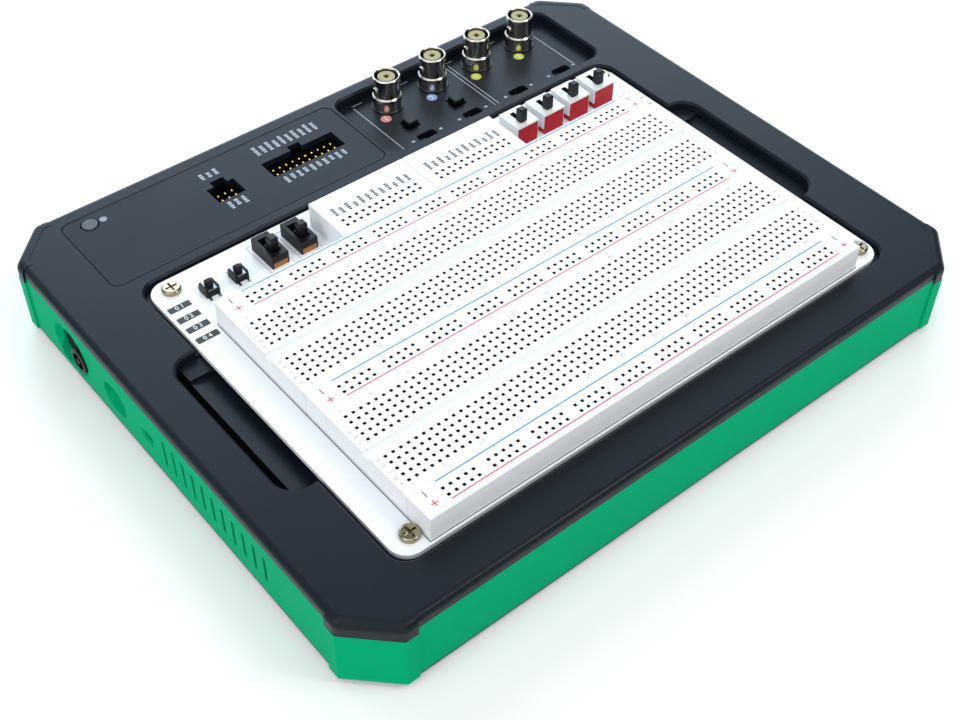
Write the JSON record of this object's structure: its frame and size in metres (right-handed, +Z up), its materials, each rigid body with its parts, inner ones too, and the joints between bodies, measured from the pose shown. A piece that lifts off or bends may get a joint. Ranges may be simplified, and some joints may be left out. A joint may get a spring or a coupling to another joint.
{
  "type": "portable electronics lab station",
  "caption": "Flat portable electronics lab station: green-sided case with coaxial sockets, pin headers and a lift-out board of breadboards, switches and push buttons.",
  "frame": {"origin": "centre of the case on the table, under the feet", "axes": "+X to the right along the breadboards, +Y to the side with the coaxial sockets, +Z up"},
  "size_m": [0.2342, 0.1922, 0.0393],
  "materials": {
    "tray_black": "fine matt grain",
    "band_green": "smooth satin",
    "cover_slate": "fine matt grain with a smoother rim",
    "panel_film": "printed matt film",
    "foot_rubber": "matt",
    "screw_steel": "bright zinc",
    "board_dark": "solder mask",
    "board_white": "white solder mask",
    "chip_black": "matt",
    "sink_aluminium": "brushed",
    "capacitor_sleeve": "smooth sleeve",
    "housing_black": "moulded",
    "socket_base": "moulded",
    "nickel": "nickel plated",
    "insulator_cream": "smooth",
    "contact_gold": "gold plated",
    "cap_black": "smooth",
    "button_dark": "smooth",
    "lens_clear": "clear lens",
    "lever_black": "smooth",
    "socket_shell": "plated",
    "stud_nylon": "smooth",
    "foam_tape": "foam",
    "breadboard_white": "fine satin",
    "spring_metal": "plated spring strip",
    "switch_red": "smooth",
    "switch_white": "satin",
    "amber_base": "phenolic board",
    "bright_plate": "bright"
  },
  "bodies": {
    "case": {"board_chips": "chip_black", "board_screws": "screw_steel", "bottom_cover": "tray_black", "cable_sockets": "socket_shell", "canvas_sockets": "housing_black", "capacitors": "capacitor_sleeve", "case_screws": "screw_steel", "coaxial_barrel_1": "nickel", "coaxial_barrel_2": "nickel", "coaxial_barrel_3": "nickel", "coaxial_barrel_4": "nickel", "coaxial_bases": "socket_base", "coaxial_insulators": "insulator_cream", "grip_slabs": "cover_slate", "header_shrouds": "housing_black", "heat_sink": "sink_aluminium", "main_board": "board_dark", "panel_overlay": "panel_film", "power_jack": "housing_black", "push_switch_bodies": "housing_black", "rubber_feet": "foot_rubber", "selector_bodies": "housing_black", "side_band": "band_green", "signal_contacts": "contact_gold", "status_light": "lens_clear", "top_cover": "cover_slate"},
    "canvas": {"canvas_board": "board_white", "canvas_plugs": "housing_black", "canvas_screws": "screw_steel", "canvas_studs": "stud_nylon", "foam_backing": "foam_tape", "terminal_strip_1": "breadboard_white", "terminal_strip_2": "breadboard_white", "power_rail_1": "breadboard_white", "power_rail_2": "breadboard_white", "power_rail_3": "breadboard_white", "spring_clips": "spring_metal", "signal_block_1": "breadboard_white", "signal_block_2": "breadboard_white", "red_switch_bodies": "switch_red", "red_switch_covers": "switch_white", "slide_switch_bases": "amber_base", "slide_switch_frames": "housing_black", "tact_bases": "housing_black", "tact_plates": "bright_plate"},
    "power_button": {"power_button": "button_dark"},
    "push_cap_1": {"push_cap_1": "cap_black"},
    "push_cap_2": {"push_cap_2": "cap_black"},
    "tact_plunger_1": {"tact_plunger_1": "cap_black"},
    "tact_plunger_2": {"tact_plunger_2": "cap_black"},
    "slide_switch_lever_1": {"slide_switch_lever_1": "lever_black"},
    "slide_switch_lever_2": {"slide_switch_lever_2": "lever_black"},
    "selector_lever_1": {"selector_lever_1": "lever_black"},
    "red_switch_lever_1": {"red_switch_lever_1": "lever_black"},
    "selector_lever_2": {"selector_lever_2": "lever_black"},
    "red_switch_lever_2": {"red_switch_lever_2": "lever_black"},
    "selector_lever_3": {"selector_lever_3": "lever_black"},
    "red_switch_lever_3": {"red_switch_lever_3": "lever_black"},
    "selector_lever_4": {"selector_lever_4": "lever_black"},
    "red_switch_lever_4": {"red_switch_lever_4": "lever_black"}
  },
  "joints": [
    {"name": "canvas_lift", "type": "slide", "parent": "case", "child": "canvas", "axis": [0, 0, 1], "range_m": [0, 0.04]},
    {"name": "power_press", "type": "slide", "parent": "case", "child": "power_button", "axis": [0, 0, -1], "range_m": [0, 0.0008], "stiffness_N_per_m": 400, "springref_m": -0.001},
    {"name": "cap_press_1", "type": "slide", "parent": "case", "child": "push_cap_1", "axis": [0, 0, -1], "range_m": [0, 0.0012], "stiffness_N_per_m": 400, "springref_m": -0.001},
    {"name": "tact_press_1", "type": "slide", "parent": "canvas", "child": "tact_plunger_1", "axis": [0, 0, -1], "range_m": [0, 0.0003], "stiffness_N_per_m": 400, "springref_m": -0.001},
    {"name": "slide_switch_1", "type": "slide", "parent": "canvas", "child": "slide_switch_lever_1", "axis": [0, 1, 0], "range_m": [0, 0.0038]},
    {"name": "cap_press_2", "type": "slide", "parent": "case", "child": "push_cap_2", "axis": [0, 0, -1], "range_m": [0, 0.0012], "stiffness_N_per_m": 400, "springref_m": -0.001},
    {"name": "tact_press_2", "type": "slide", "parent": "canvas", "child": "tact_plunger_2", "axis": [0, 0, -1], "range_m": [0, 0.0003], "stiffness_N_per_m": 400, "springref_m": -0.001},
    {"name": "slide_switch_2", "type": "slide", "parent": "canvas", "child": "slide_switch_lever_2", "axis": [0, 1, 0], "range_m": [0, 0.0038]},
    {"name": "selector_1", "type": "slide", "parent": "case", "child": "selector_lever_1", "axis": [1, 0, 0], "range_m": [0, 0.0034]},
    {"name": "red_switch_1", "type": "slide", "parent": "canvas", "child": "red_switch_lever_1", "axis": [0, 1, 0], "range_m": [0, 0.004]},
    {"name": "selector_2", "type": "slide", "parent": "case", "child": "selector_lever_2", "axis": [1, 0, 0], "range_m": [0, 0.0034]},
    {"name": "red_switch_2", "type": "slide", "parent": "canvas", "child": "red_switch_lever_2", "axis": [0, 1, 0], "range_m": [0, 0.004]},
    {"name": "selector_3", "type": "slide", "parent": "case", "child": "selector_lever_3", "axis": [1, 0, 0], "range_m": [0, 0.0034]},
    {"name": "red_switch_3", "type": "slide", "parent": "canvas", "child": "red_switch_lever_3", "axis": [0, 1, 0], "range_m": [0, 0.004]},
    {"name": "selector_4", "type": "slide", "parent": "case", "child": "selector_lever_4", "axis": [1, 0, 0], "range_m": [0, 0.0034]},
    {"name": "red_switch_4", "type": "slide", "parent": "canvas", "child": "red_switch_lever_4", "axis": [0, 1, 0], "range_m": [0, 0.004]}
  ]
}
